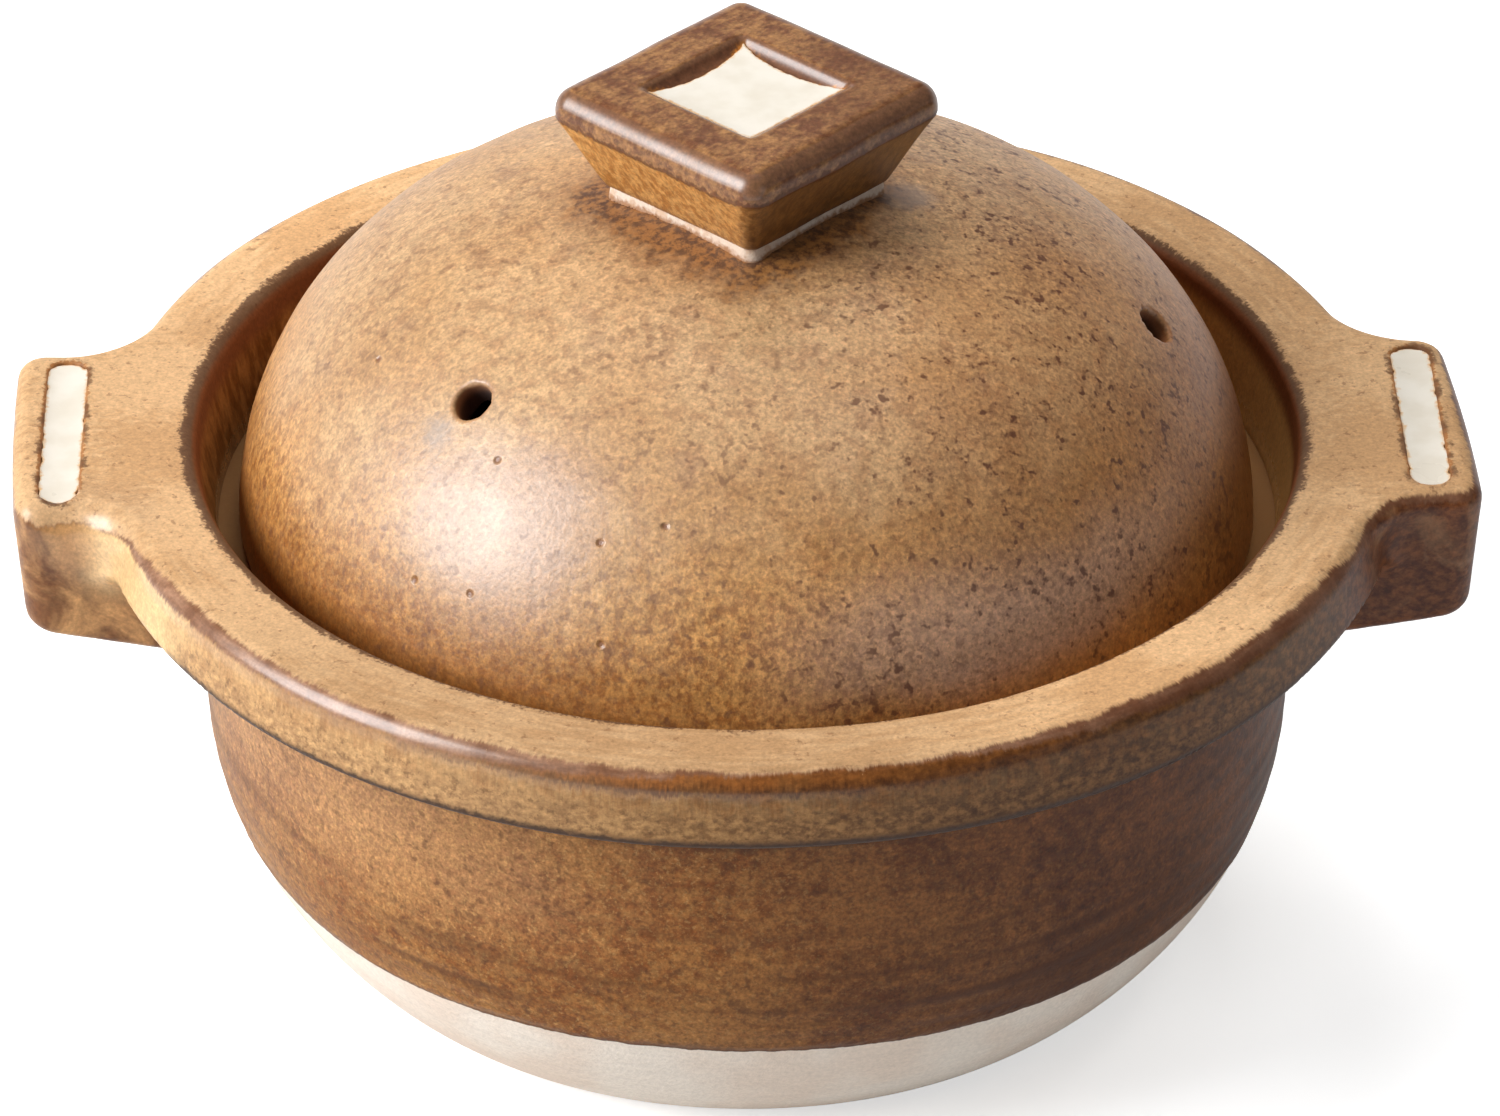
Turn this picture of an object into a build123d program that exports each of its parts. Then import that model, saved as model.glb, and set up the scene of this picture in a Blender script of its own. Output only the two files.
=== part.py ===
from build123d import *
import math
import os

os.makedirs("parts", exist_ok=True)

# A stoneware cooking pot: a round bowl under a thick flat brim with two lugs, and a domed
# lid that sits inside the brim and lifts off by a square knob. Lengths in millimetres,
# Z up, the origin on the table under the middle of the foot.

# Bowl
bowl_diameter = 227.0      # outside, at the belly and up to the brim
foot_inset = 31.6          # from the bowl's outside in to the edge of the foot
belly_height = 58.0        # where the curve from the foot turns upright
bowl_wall = 9.0
floor_thickness = 10.0
floor_corner_radius = 22.0
foot_edge_radius = 4.0
foot_ring_width = 19.9
foot_hollow_depth = 2.0
foot_hollow_slope = 3.0

# Ledge inside the mouth that carries the lid
seat_height = 95.5
seat_width = 11.0
seat_thickness = 6.0
seat_edge_radius = 1.2

# Brim
brim_overhang = 21.5       # from the bowl's outside to the lower edge of the outer band
brim_lean = 2.2            # how far the band's upper edge stands in from its lower edge
brim_rise = 21.0           # from the ledge up to the flat top
gallery_inset = 3.7        # from the bowl's outside in to the wall round the lid, at the ledge
gallery_flare = 4.7        # how far that wall leans out on its way up to the flat top
band_height = 14.7
brim_outer_radius = 4.0
brim_inner_radius = 2.5
brim_lower_radius = 1.4

# Lugs, one on each side
lug_projection = 18.5      # from the band's lower edge to the middle of the end face
lug_width = 64.0
lug_end_bulge = 1.5
lug_corner_radius = 7.0
lug_flare_radius = 13.0    # hollow curve from the lug's side into the brim
lug_root = 7.0             # how deep the lug is let into the brim
lug_tip_drop = 29.0        # depth of the end face, from the flat top down
lug_slope = 10.0           # degrees, its underside sinks towards the bowl
lug_top_radius = 4.0
lug_lower_radius = 3.0

# Glazed slot on the top of each lug
slot_end_margin = 4.5      # from the slot's ends to the lug's sides
slot_width = 8.0
slot_depth = 2.4
slot_inset = 13.0          # from the end face to the middle of the slot
slot_fill = 1.4            # thickness of the white glaze in it

# Lid
lid_clearance = 4.0        # between the lid's rim and the wall round it
lid_gap = 0.3              # between the lid's rim and the ledge
lid_wall = 8.0
lid_shoulder_radius = 70.2
lid_crown_radius = 165.0
lid_rim_radius = 2.0

# Steam vents, punched by hand, so that none stands quite on the ring that they share
vent_diameter = 8.5
vent_inset = 25.8                          # from the lid's rim in to that ring
vent_azimuths = [-137.6, -8.9, 111.0]      # degrees from +X, round the lid
vent_ring_shares = [0.95, 1.055, 1.0]      # distance from the axis, of the ring's radius

# Knob
knob_turn = 45.6           # degrees, corners to the lugs and to the front
knob_side = 58.2
knob_corner_radius = 5.0
knob_height = 22.6
knob_band_height = 6.7
knob_undercut = 8.2        # how far its sides draw in from the band down to its base
knob_base_corner_radius = 2.5
knob_top_radius = 3.8
knob_foot_height = 0.5     # bare clay between the crown of the lid and the glazed knob
knob_foot_block = 7.0      # depth of the block that the dome is cut out of
knob_foot_spread = 2.4     # how far that block widens on each side, going down
dish_inset = 14.8          # from the knob's sides in to the square hollow in its top
dish_depth = 3.2
dish_draft = 20.0          # degrees
dish_fill = 1.2            # thickness of the white glaze in it
dish_fill_cusp_share = 0.9   # its points, of the way to the corners of the hollow's floor
dish_fill_waist_share = 0.78   # its hollow sides, of the way to the sides of that floor

glaze_gap = 0.15           # around each white fill
cut_over = 20.0            # overrun of the cutting solids

bowl_radius = bowl_diameter / 2
foot_radius = bowl_radius - foot_inset
brim_radius = bowl_radius + brim_overhang
brim_top_radius = brim_radius - brim_lean
brim_top = seat_height + brim_rise
band_low = brim_top - band_height
gallery_radius = bowl_radius - gallery_inset
seat_inner_radius = gallery_radius - seat_width
inner_radius = bowl_radius - bowl_wall
lid_radius = gallery_radius - lid_clearance
lid_low = seat_height + lid_gap


def nearest(vertices, across, up):
    """The corner of an outline that lies nearest to a place in it."""
    return vertices.sort_by_distance((across, up))[0]


def from_axis(place):
    """How far a place lies from the pot's axis."""
    return math.hypot(place.X, place.Y)


# The bowl, turned about the pot's axis
belly_radius = (belly_height**2 + foot_inset**2) / (2 * foot_inset)
belly_center = bowl_radius - belly_radius
foot_angle = math.degrees(math.asin(belly_height / belly_radius))
inner_belly_radius = belly_radius - bowl_wall
floor_drop = belly_height - floor_thickness
floor_radius = belly_center + math.sqrt(inner_belly_radius**2 - floor_drop**2)
floor_angle = math.degrees(math.asin(floor_drop / inner_belly_radius))
hollow_radius = foot_radius - foot_ring_width
seat_low = seat_height - seat_thickness
seat_slope_low = seat_low - (inner_radius - seat_inner_radius)

with BuildPart() as bowl:
    with BuildSketch(Plane.XZ) as bowl_section:
        with BuildLine():
            outer = CenterArc((belly_center, belly_height), belly_radius, -foot_angle, foot_angle)
            inner = CenterArc((belly_center, belly_height), inner_belly_radius, 0, -floor_angle)
            Polyline(
                outer @ 1,
                (bowl_radius, seat_height),
                (seat_inner_radius, seat_height),
                (seat_inner_radius, seat_low),
                (inner_radius, seat_slope_low),
                inner @ 0,
            )
            Polyline(
                inner @ 1,
                (0, floor_thickness),
                (0, foot_hollow_depth),
                (hollow_radius - foot_hollow_slope, foot_hollow_depth),
                (hollow_radius, 0),
                outer @ 0,
            )
        make_face()
        fillet(nearest(bowl_section.vertices(), foot_radius, 0), foot_edge_radius)
        fillet(nearest(bowl_section.vertices(), floor_radius, floor_thickness), floor_corner_radius)
        fillet(nearest(bowl_section.vertices(), seat_inner_radius, seat_height), seat_edge_radius)
    revolve(axis=Axis.Z)
bowl.part.label = "bowl"

# One lug, drawn on the +X side: its flat top runs level with the brim, and its root is let
# into the brim above and stands against the bowl below
flare_circle = brim_radius - brim_lean / 2
lug_reach = brim_radius + lug_projection
half_width = lug_width / 2
flare_rise = half_width + lug_flare_radius
flare_reach = flare_circle + lug_flare_radius
flare_x = math.sqrt(flare_reach**2 - flare_rise**2)
touch_x = flare_x * flare_circle / flare_reach
touch_y = flare_rise * flare_circle / flare_reach
root_radius = flare_circle - lug_root
root_x = flare_x * root_radius / flare_reach
root_y = flare_rise * root_radius / flare_reach
notch_x = flare_x * lug_reach / flare_reach
notch_y = flare_rise * lug_reach / flare_reach
lug_edge = lug_reach - lug_end_bulge
tip_low = brim_top - lug_tip_drop
lug_fall = math.tan(math.radians(lug_slope))
axis_low = tip_low - lug_edge * lug_fall   # the underside, carried on to the pot's axis
slot_x = lug_reach - slot_inset
slot_length = lug_width - 2 * slot_end_margin
past_lug = lug_reach + cut_over

with BuildPart() as right_lug:
    with BuildSketch(Plane.XY.offset(band_low)) as lug_plan:
        with BuildLine():
            Line((touch_x, -touch_y), (root_x, -root_y))
            ThreePointArc((root_x, -root_y), (root_radius, 0), (root_x, root_y))
            Line((root_x, root_y), (touch_x, touch_y))
            RadiusArc((touch_x, touch_y), (flare_x, half_width), -lug_flare_radius)
            Line((flare_x, half_width), (lug_edge, half_width))
            ThreePointArc((lug_edge, half_width), (lug_reach, 0), (lug_edge, -half_width))
            Line((lug_edge, -half_width), (flare_x, -half_width))
            RadiusArc((flare_x, -half_width), (touch_x, -touch_y), -lug_flare_radius)
        make_face()
        for side in (half_width, -half_width):
            fillet(nearest(lug_plan.vertices(), lug_edge, side), lug_corner_radius)
    extrude(amount=band_height)
    with BuildSketch(Plane.XY.offset(axis_low)) as lug_under_plan:
        with BuildLine():
            end = ThreePointArc((lug_edge, half_width), (lug_reach, 0), (lug_edge, -half_width))
            Polyline(end @ 1, (0, -half_width), (0, half_width), end @ 0)
        make_face()
        for side in (half_width, -half_width):
            fillet(nearest(lug_under_plan.vertices(), lug_edge, side), lug_corner_radius)
    extrude(amount=band_low - axis_low)
    with BuildSketch(Plane.XY):
        Circle(bowl_radius)
    extrude(amount=band_low, mode=Mode.SUBTRACT)
    with BuildSketch(Plane.XZ):
        with BuildLine():
            Polyline(
                (0, axis_low),
                (past_lug, axis_low + past_lug * lug_fall),
                (past_lug, axis_low),
                close=True,
            )
        make_face()
    extrude(amount=lug_width, both=True, mode=Mode.SUBTRACT)
    top_edges = right_lug.faces().sort_by(Axis.Z)[-1].edges()
    fillet(top_edges.filter_by(lambda edge: from_axis(edge.center()) > flare_circle), lug_top_radius)
    low_edges = right_lug.faces().sort_by(Axis.Z)[0].edges()
    fillet(low_edges.filter_by(lambda edge: from_axis(edge.center()) > root_radius), lug_lower_radius)
    with BuildSketch(Plane.XY.offset(brim_top)):
        with Locations((slot_x, 0)):
            SlotOverall(slot_length, slot_width, rotation=90)
    extrude(amount=-slot_depth, mode=Mode.SUBTRACT)
right_lug.part.label = "right_lug"

# The notch that the lug's root fills in the brim, between the same two radii
with BuildPart() as lug_notch:
    with BuildSketch(Plane.XY.offset(band_low)):
        with BuildLine():
            ThreePointArc((root_x, -root_y), (root_radius, 0), (root_x, root_y))
            Polyline((root_x, root_y), (notch_x, notch_y), (notch_x, -notch_y), (root_x, -root_y))
        make_face()
    extrude(amount=band_height)

with BuildPart() as left_lug:
    add(right_lug.part, rotation=(0, 0, 180))
left_lug.part.label = "left_lug"

# White glaze that fills the bottom of each lug's slot
with BuildPart() as right_lug_inlay:
    with BuildSketch(Plane.XY.offset(brim_top - slot_depth)):
        with Locations((slot_x, 0)):
            SlotOverall(slot_length - 2 * glaze_gap, slot_width - 2 * glaze_gap, rotation=90)
    extrude(amount=slot_fill)
right_lug_inlay.part.label = "right_lug_inlay"

with BuildPart() as left_lug_inlay:
    add(right_lug_inlay.part, rotation=(0, 0, 180))
left_lug_inlay.part.label = "left_lug_inlay"

# The brim: a thick ring on the bowl's edge, whose inside is the wall round the lid
mouth_radius = gallery_radius + gallery_flare

with BuildPart() as brim:
    with BuildSketch(Plane.XZ) as brim_section:
        with BuildLine():
            Polyline(
                (gallery_radius, seat_height),
                (bowl_radius, seat_height),
                (bowl_radius, band_low),
                (brim_radius, band_low),
                (brim_top_radius, brim_top),
                (mouth_radius, brim_top),
                close=True,
            )
        make_face()
        for across, up, radius in (
            (brim_radius, band_low, brim_lower_radius),
            (brim_top_radius, brim_top, brim_outer_radius),
            (mouth_radius, brim_top, brim_inner_radius),
        ):
            fillet(nearest(brim_section.vertices(), across, up), radius)
    revolve(axis=Axis.Z)
    for turn in (0, 180):
        add(lug_notch.part, rotation=(0, 0, turn), mode=Mode.SUBTRACT)
brim.part.label = "brim"

# The lid: a dome of one wall thickness, struck from a shoulder curve and a flatter crown
shoulder_x = lid_radius - lid_shoulder_radius
crown_lean = math.degrees(math.asin(shoulder_x / (lid_crown_radius - lid_shoulder_radius)))
crown_z = lid_low - (lid_crown_radius - lid_shoulder_radius) * math.cos(math.radians(crown_lean))
crown_top = crown_z + lid_crown_radius
shoulder_turn = 90 - crown_lean

with BuildPart() as lid_dome:
    with BuildSketch(Plane.XZ) as lid_section:
        with BuildLine():
            shoulder = CenterArc((shoulder_x, lid_low), lid_shoulder_radius, 0, shoulder_turn)
            crown = CenterArc((0, crown_z), lid_crown_radius, shoulder_turn, crown_lean)
            crown_inside = CenterArc((0, crown_z), lid_crown_radius - lid_wall, 90, -crown_lean)
            inside = CenterArc(
                (shoulder_x, lid_low), lid_shoulder_radius - lid_wall, shoulder_turn, -shoulder_turn
            )
            Line(crown @ 1, crown_inside @ 0)
            Line(inside @ 1, shoulder @ 0)
        make_face()
        for across in (lid_radius, lid_radius - lid_wall):
            fillet(nearest(lid_section.vertices(), across, lid_low), lid_rim_radius)
    revolve(axis=Axis.Z)
    for azimuth, ring_share in zip(vent_azimuths, vent_ring_shares):
        vent_radius = (lid_radius - vent_inset) * ring_share
        lean = math.degrees(math.asin((vent_radius - shoulder_x) / lid_shoulder_radius))
        height = lid_low + lid_shoulder_radius * math.cos(math.radians(lean))
        vent_place = Location((0, 0, 0), (0, 0, azimuth)) * Location((vent_radius, 0, height), (0, lean, 0))
        with Locations(vent_place):
            Cylinder(vent_diameter / 2, 2 * lid_wall, mode=Mode.SUBTRACT)
lid_dome.part.label = "lid_dome"

# The bare clay foot that joins the knob to the crown
knob_low = crown_top + knob_foot_height
knob_top = knob_low + knob_height
knob_band_low = knob_top - knob_band_height
knob_base_side = knob_side - 2 * knob_undercut
foot_side = knob_base_side + 2 * knob_foot_spread
foot_corner_radius = knob_base_corner_radius + knob_foot_spread

with BuildPart() as knob_foot:
    with BuildSketch(Plane.XY.offset(knob_low)):
        RectangleRounded(knob_base_side, knob_base_side, knob_base_corner_radius, rotation=knob_turn)
    with BuildSketch(Plane.XY.offset(knob_low - knob_foot_block)):
        RectangleRounded(foot_side, foot_side, foot_corner_radius, rotation=knob_turn)
    loft()
    with Locations((0, 0, crown_z)):
        Sphere(lid_crown_radius, mode=Mode.SUBTRACT)
knob_foot.part.label = "knob_foot"

# The knob: a square block with a rounded band above and sides that draw in below
dish_side = knob_side - 2 * dish_inset

with BuildPart() as knob:
    with BuildSketch(Plane.XY.offset(knob_low)):
        RectangleRounded(knob_base_side, knob_base_side, knob_base_corner_radius, rotation=knob_turn)
    with BuildSketch(Plane.XY.offset(knob_band_low)):
        RectangleRounded(knob_side, knob_side, knob_corner_radius, rotation=knob_turn)
    loft()
    with BuildSketch(Plane.XY.offset(knob_band_low)):
        RectangleRounded(knob_side, knob_side, knob_corner_radius, rotation=knob_turn)
    extrude(amount=knob_band_height)
    fillet(knob.faces().sort_by(Axis.Z)[-1].edges(), knob_top_radius)
    with BuildSketch(Plane.XY.offset(knob_top)):
        Rectangle(dish_side, dish_side, rotation=knob_turn)
    extrude(amount=-dish_depth, taper=dish_draft, mode=Mode.SUBTRACT)
knob.part.label = "knob"

# White glaze that fills the bottom of the knob's hollow, drawn out to four points
dish_floor_side = dish_side - 2 * dish_depth * math.tan(math.radians(dish_draft))
cusp = dish_floor_side / math.sqrt(2) * dish_fill_cusp_share
waist = dish_floor_side / 2 * dish_fill_waist_share

with BuildPart() as knob_inlay:
    with BuildSketch(Plane.XY.offset(knob_top - dish_depth)):
        with BuildLine():
            for quarter in range(4):
                corner = math.radians(knob_turn + 45 + 90 * quarter)
                side = math.radians(knob_turn + 90 + 90 * quarter)
                next_corner = math.radians(knob_turn + 135 + 90 * quarter)
                ThreePointArc(
                    (cusp * math.cos(corner), cusp * math.sin(corner)),
                    (waist * math.cos(side), waist * math.sin(side)),
                    (cusp * math.cos(next_corner), cusp * math.sin(next_corner)),
                )
        make_face()
    extrude(amount=dish_fill)
knob_inlay.part.label = "knob_inlay"

for piece in (
    bowl,
    brim,
    left_lug,
    right_lug,
    left_lug_inlay,
    right_lug_inlay,
    lid_dome,
    knob_foot,
    knob,
    knob_inlay,
):
    export_step(piece.part, f"parts/{piece.part.label}.step")
    print(piece.part.label, round(piece.part.volume), "mm3, widest", round(piece.part.bounding_box().size.X, 1))
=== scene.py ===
import math

import bpy
import numpy as np
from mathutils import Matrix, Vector


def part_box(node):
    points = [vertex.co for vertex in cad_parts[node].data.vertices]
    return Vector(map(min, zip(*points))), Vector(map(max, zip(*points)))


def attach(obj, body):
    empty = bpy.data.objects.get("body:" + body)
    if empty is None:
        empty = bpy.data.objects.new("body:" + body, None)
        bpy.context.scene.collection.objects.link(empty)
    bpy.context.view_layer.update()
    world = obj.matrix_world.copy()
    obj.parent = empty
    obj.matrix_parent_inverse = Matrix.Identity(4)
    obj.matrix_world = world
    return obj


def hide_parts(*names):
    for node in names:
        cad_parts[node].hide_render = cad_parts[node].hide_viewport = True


# The looks of a stoneware cooking pot with a lid. Each clay piece is a formula that gives, in
# millimetres, how far a point lies outside the clay, and surface() makes its mesh. Z is up, the
# lugs lie along X, and the photograph is taken from the -Y side.

MM = 0.001
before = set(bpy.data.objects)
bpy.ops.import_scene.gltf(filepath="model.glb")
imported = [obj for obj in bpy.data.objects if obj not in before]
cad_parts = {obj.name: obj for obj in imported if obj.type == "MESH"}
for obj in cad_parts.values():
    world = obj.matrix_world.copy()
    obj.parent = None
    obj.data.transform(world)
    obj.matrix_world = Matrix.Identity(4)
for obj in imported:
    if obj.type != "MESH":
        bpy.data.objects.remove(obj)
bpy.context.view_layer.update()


def reach(node, axis):
    """A CAD node's highest X, Y or Z, in millimetres."""
    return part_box(node)[1]["XYZ".index(axis)] / MM


# Heights and widths that the solids give
seat_height = reach("bowl", "Z")
bowl_radius = reach("bowl", "X")
brim_top = reach("brim", "Z")
lug_reach = reach("right_lug", "X")
lid_top = reach("lid_dome", "Z")
knob_top = reach("knob", "Z")

# The bowl
foot_inset = 31.6
belly_height = 58.0
bowl_wall = 9.0
floor_thickness = 10.0
floor_corner_radius = 22.0
foot_edge_radius = 4.0
foot_ring_width = 19.9
foot_hollow_depth = 2.0
seat_width = 11.0
seat_thickness = 6.0
seat_edge_radius = 1.2
belly_swell = 0.35
ring_spacing = 5.6
ring_depth = 0.11
inside_ring_spacing = 9
inside_ring_depth = 0.2
glaze_line = 34.0
glaze_thickness = 0.35

# The brim and its lugs
brim_radius = bowl_radius + 21.3
brim_lean = 2.2
gallery_radius = bowl_radius - 3.7
gallery_flare = 4.7
band_low = brim_top - 14.7
brim_edge_radius = 4.2
gallery_edge_radius = 2.5
lug_half_width = 32.0
lug_corner_radius = 6.0
lug_tip_drop = 29.0
lug_slope = math.radians(10.0)
lug_root = bowl_radius - 2.0
right_lug_end = 149.6
right_lug_slant = -0.055
left_lug_end = 152.2
left_lug_slant = 0.03
lug_end_lean = 2.0
lug_end_bow = 0.8
flare_radius_low = 6.5
flare_radius_gain = 7
flare_place = (-lug_root - 23, -lug_half_width - 2)
flare_worn_size = 11
flare_worn_radius = 5
slot_inset = 13.0
slot_half_length = 27.5
slot_radius = 4.0
slot_depth = 2.2

# How far out along X the brim's glaze runs over into that of the lugs
lug_from = 114.0
lug_full = 122.0

# The lid
lid_radius = gallery_radius - 4.0
lid_low = seat_height + 0.3
lid_wall = 8.0
lid_shoulder_radius = 70.2
lid_crown_radius = 165.0
vent_radius = 4.1
vent_ring = lid_radius - 25.8
vent_azimuths = [-137.6, -8.9, 111.0]
vent_ring_shares = [0.95, 1.055, 1.0]
pinhole_azimuths = [-159, -133, -125, -110, -102, -108, -128]
pinhole_rings = [80.5, 99.6, 98.8, 90.0, 86.7, 100.2, 82.8]
pinhole_radius = 1.1
lid_edge_radius = 2.2

# Places on the lid, as an azimuth and a distance from the axis: first a greyer patch painted where the key
# lamp's highlight falls, so that the highlight looks whiter, then a bruise by the left vent and a painted
# reflection by the knob's foot, each with a size
highlight_patch_place = (-124, 91.5)
bruise_and_reflection = [(-139.5, 83.0, 5.5), (0, 33.0, 8.0)]

# The knob
knob_turn = math.radians(45.6)
knob_half = 29.1
knob_base_half = 20.9
knob_low = knob_top - 22.6
knob_band_low = knob_top - 6.7
knob_corner_radius = 2.5
knob_edge_radius = 5.2
dish_half = 14.6
dish_depth = 3.2
dish_slope = 0.6
pool_waist_front = 13.6
pool_waist_back = 11.6

# How fine the grid of each mesh is, coarse in the plain parts and fine at the small edges
bowl_cell = 1.6
brim_cell = 1.25
brim_edge_cell = 0.7
slot_edge_cell = 0.6
lid_cell = 1.8
lid_height_cell = 1.5
lid_edge_cell = 0.8
vent_cell = 0.65
knob_cell = 0.6
knob_foot_cell = 0.5
white_cell = 0.35


def cut_edge(a, b, radius):
    """What lies inside both a and b, with the edge between them rounded."""
    corner = np.hypot(np.maximum(a + radius, 0), np.maximum(b + radius, 0))
    return np.minimum(np.maximum(a, b), -radius) + corner


def joined(a, b, radius):
    """What lies inside a or b, with the hollow corner between them filled."""
    return -cut_edge(-a, -b, radius)


def smooth(value, low, high):
    """Rises from 0 at low to 1 at high."""
    share = np.clip((value - low) / (high - low), 0, 1)
    return share * share * (3 - 2 * share)


def swell(x, y, z, length, seed):
    """Smooth random swell between about -1 and 1, its crests about a length apart."""
    rng = np.random.default_rng(seed)
    total = 0
    for _ in range(7):
        way = rng.normal(size=3)
        way *= 2 * math.pi / length * rng.uniform(0.7, 1.3) / np.linalg.norm(way)
        total = total + np.sin(way[0] * x + way[1] * y + way[2] * z + rng.uniform(0, 2 * math.pi))
    return total / 3.5


def knob_ways(x, y):
    """A place or a direction, measured square to the knob's sides."""
    across = x * math.cos(knob_turn) + y * math.sin(knob_turn)
    along = y * math.cos(knob_turn) - x * math.sin(knob_turn)
    return across, along


def turned_square(x, y, half, radius):
    """Distance outside a rounded square, turned as the knob is."""
    across, along = (np.abs(way) - half + radius for way in knob_ways(x, y))
    outside = np.hypot(np.maximum(across, 0), np.maximum(along, 0))
    return outside + np.minimum(np.maximum(across, along), 0) - radius


def bowl_wall_outside(r, z):
    """Distance outside the bowl's round belly and upright wall."""
    belly_radius = (belly_height**2 + foot_inset**2) / (2 * foot_inset)
    around = np.hypot(np.maximum(r - bowl_radius + belly_radius, 0), np.minimum(z - belly_height, 0))
    return np.where(z < belly_height, around - belly_radius, r - bowl_radius)


def bowl_hollow(r, z):
    """Distance outside the bowl's hollow."""
    rings = inside_ring_depth * np.sin(2 * math.pi * z / inside_ring_spacing) * smooth(z, 20, 30)
    inner = bowl_wall_outside(r, z) + bowl_wall - rings
    return cut_edge(inner, floor_thickness - z, floor_corner_radius)


def bowl_clay(x, y, z):
    """The bowl: its wall, a ledge inside the mouth and a flat foot."""
    r = np.hypot(x, y)
    foot_radius = bowl_radius - foot_inset
    outer = bowl_wall_outside(r, z)
    rings = np.sin(2 * math.pi * z / ring_spacing + 1.3 * swell(x, y, z, 60, 1))
    rings = rings * (0.5 + 0.5 * swell(x, y, z, 35, 2))
    low_wall = smooth(z, 30, 38) * (1 - smooth(z, 62, 90))
    line = glaze_line + 0.8 * swell(x, y, z, 18, 3)
    glaze = glaze_thickness * smooth(z, line, line + 1.5) * (1 - smooth(z, 92, 95))
    outer = outer + belly_swell * swell(x, y, z, 90, 4) - ring_depth * rings * low_wall
    outer = outer + glaze_thickness - glaze
    shell = np.maximum(cut_edge(outer, -z, foot_edge_radius), -bowl_hollow(r, z))
    seat_edge = gallery_radius - seat_width - r
    ledge = cut_edge(seat_edge, (seat_height - seat_thickness - z - seat_edge) * math.sqrt(0.5), 1.5)
    ledge = np.maximum(cut_edge(ledge, z - seat_height, seat_edge_radius), r - bowl_radius + 2)
    foot_hollow = np.maximum(z - foot_hollow_depth, (r - foot_radius + foot_ring_width + z) * 0.7)
    return cut_edge(np.maximum(joined(shell, ledge, 1.0), z - seat_height), -foot_hollow, 0.6)


def lug_plan(x, y, z, side):
    """Distance outside a lug's outline. side is 1 for the right lug and -1 for the left."""
    end = right_lug_end + right_lug_slant * y if side > 0 else left_lug_end + left_lug_slant * y
    lean = lug_end_lean * (brim_top - z) / lug_tip_drop
    past_end = side * x - end + lean + lug_end_bow * (y / lug_half_width) ** 2
    flank = np.abs(y) - lug_half_width + 0.4 * swell(x, y, z, 40, 5)
    return cut_edge(past_end, flank, lug_corner_radius)


def slot_middle(side):
    """X of the middle of a lug's slot."""
    return side * (lug_reach - slot_inset + (0.9 if side < 0 else -0.8))


def slot_outline(x, y, side):
    """Distance outside a slot's outline."""
    along = np.maximum(np.abs(y) - slot_half_length + slot_radius, 0)
    return np.hypot(x - slot_middle(side), along) - slot_radius


def ring_side(x, y, z):
    """Distance outside the brim's side, which leans in towards its top."""
    lean = brim_lean * np.maximum(z - band_low, 0) / (brim_top - band_low)
    return np.hypot(x, y) - brim_radius + lean + 0.25 * swell(x, y, z, 70, 6)


def flare_radius(z):
    """How widely a lug flares into the brim, wider towards the top."""
    return flare_radius_low + flare_radius_gain * smooth(z, band_low + 2, brim_top - 1)


def outline(x, y, z):
    """Distance outside the common outline of the brim and its lugs."""
    plan = ring_side(x, y, z)
    for side in (1, -1):
        lug = np.maximum(lug_plan(x, y, z, side), -side * x)
        plan = joined(plan, lug, flare_radius(z))
    return plan


def brim_clay(x, y, z):
    """The brim with both lugs, drawn as one because the glaze runs over them all."""
    r = np.hypot(x, y)
    ring_low = band_low - 1.6 * smooth(-y, 50, 125)
    ring = cut_edge(ring_side(x, y, z), ring_low - z, 1.6)
    neck = np.maximum(r - bowl_radius + 0.2, seat_height - z)
    clay = joined(ring, neck, 1.5)
    for side in (1, -1):
        under = brim_top - lug_tip_drop - (lug_reach - side * x) * math.tan(lug_slope) - z
        under = under * math.cos(lug_slope)
        lug = cut_edge(lug_plan(x, y, z, side), under, 3.0)
        lug = np.maximum(lug, np.maximum(lug_root - r, -side * x))
        clay = joined(clay, lug, flare_radius(z))
    top = z - brim_top + 0.12 + 0.12 * swell(x, y, z, 45, 7)
    from_flare = (x - flare_place[0]) ** 2 + (y - flare_place[1]) ** 2
    worn = np.exp(-from_flare / flare_worn_size**2)
    clay = cut_edge(clay, top, brim_edge_radius + flare_worn_radius * worn)
    wall = gallery_radius + (z - seat_height) * gallery_flare / (brim_top - seat_height) - r
    clay = cut_edge(clay, wall + 0.15 * swell(x, y, z, 60, 8), gallery_edge_radius)
    for side in (1, -1):
        slot = np.maximum(slot_outline(x, y, side), brim_top - slot_depth - z)
        clay = cut_edge(clay, -slot, 0.8)
    return clay


def dome(x, y, z):
    """Distance outside the lid's dome: a flat crown that runs into a round shoulder."""
    r = np.hypot(x, y)
    shoulder = lid_radius - lid_shoulder_radius
    crown_z = lid_top - lid_crown_radius
    over_crown = r * (lid_low - crown_z) < (z - crown_z) * shoulder
    crown = np.hypot(r, z - crown_z) - lid_crown_radius
    return np.where(over_crown, crown, np.hypot(r - shoulder, z - lid_low) - lid_shoulder_radius)


def on_dome(azimuth, ring):
    """The point of the dome at an azimuth and a distance from the axis, and the way out of it."""
    turn = math.radians(azimuth)
    shoulder = lid_radius - lid_shoulder_radius
    if ring > shoulder * lid_crown_radius / (lid_crown_radius - lid_shoulder_radius):
        lean = math.asin((ring - shoulder) / lid_shoulder_radius)
        height = lid_low + lid_shoulder_radius * math.cos(lean)
    else:
        lean = math.asin(ring / lid_crown_radius)
        height = lid_top - lid_crown_radius * (1 - math.cos(lean))
    point = np.array([ring * math.cos(turn), ring * math.sin(turn), height])
    way = np.array([math.sin(lean) * math.cos(turn), math.sin(lean) * math.sin(turn), math.cos(lean)])
    return point, way


def vents():
    """Middle and direction of each steam vent, square to the dome."""
    for azimuth, share in zip(vent_azimuths, vent_ring_shares):
        yield on_dome(azimuth, vent_ring * share)


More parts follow.
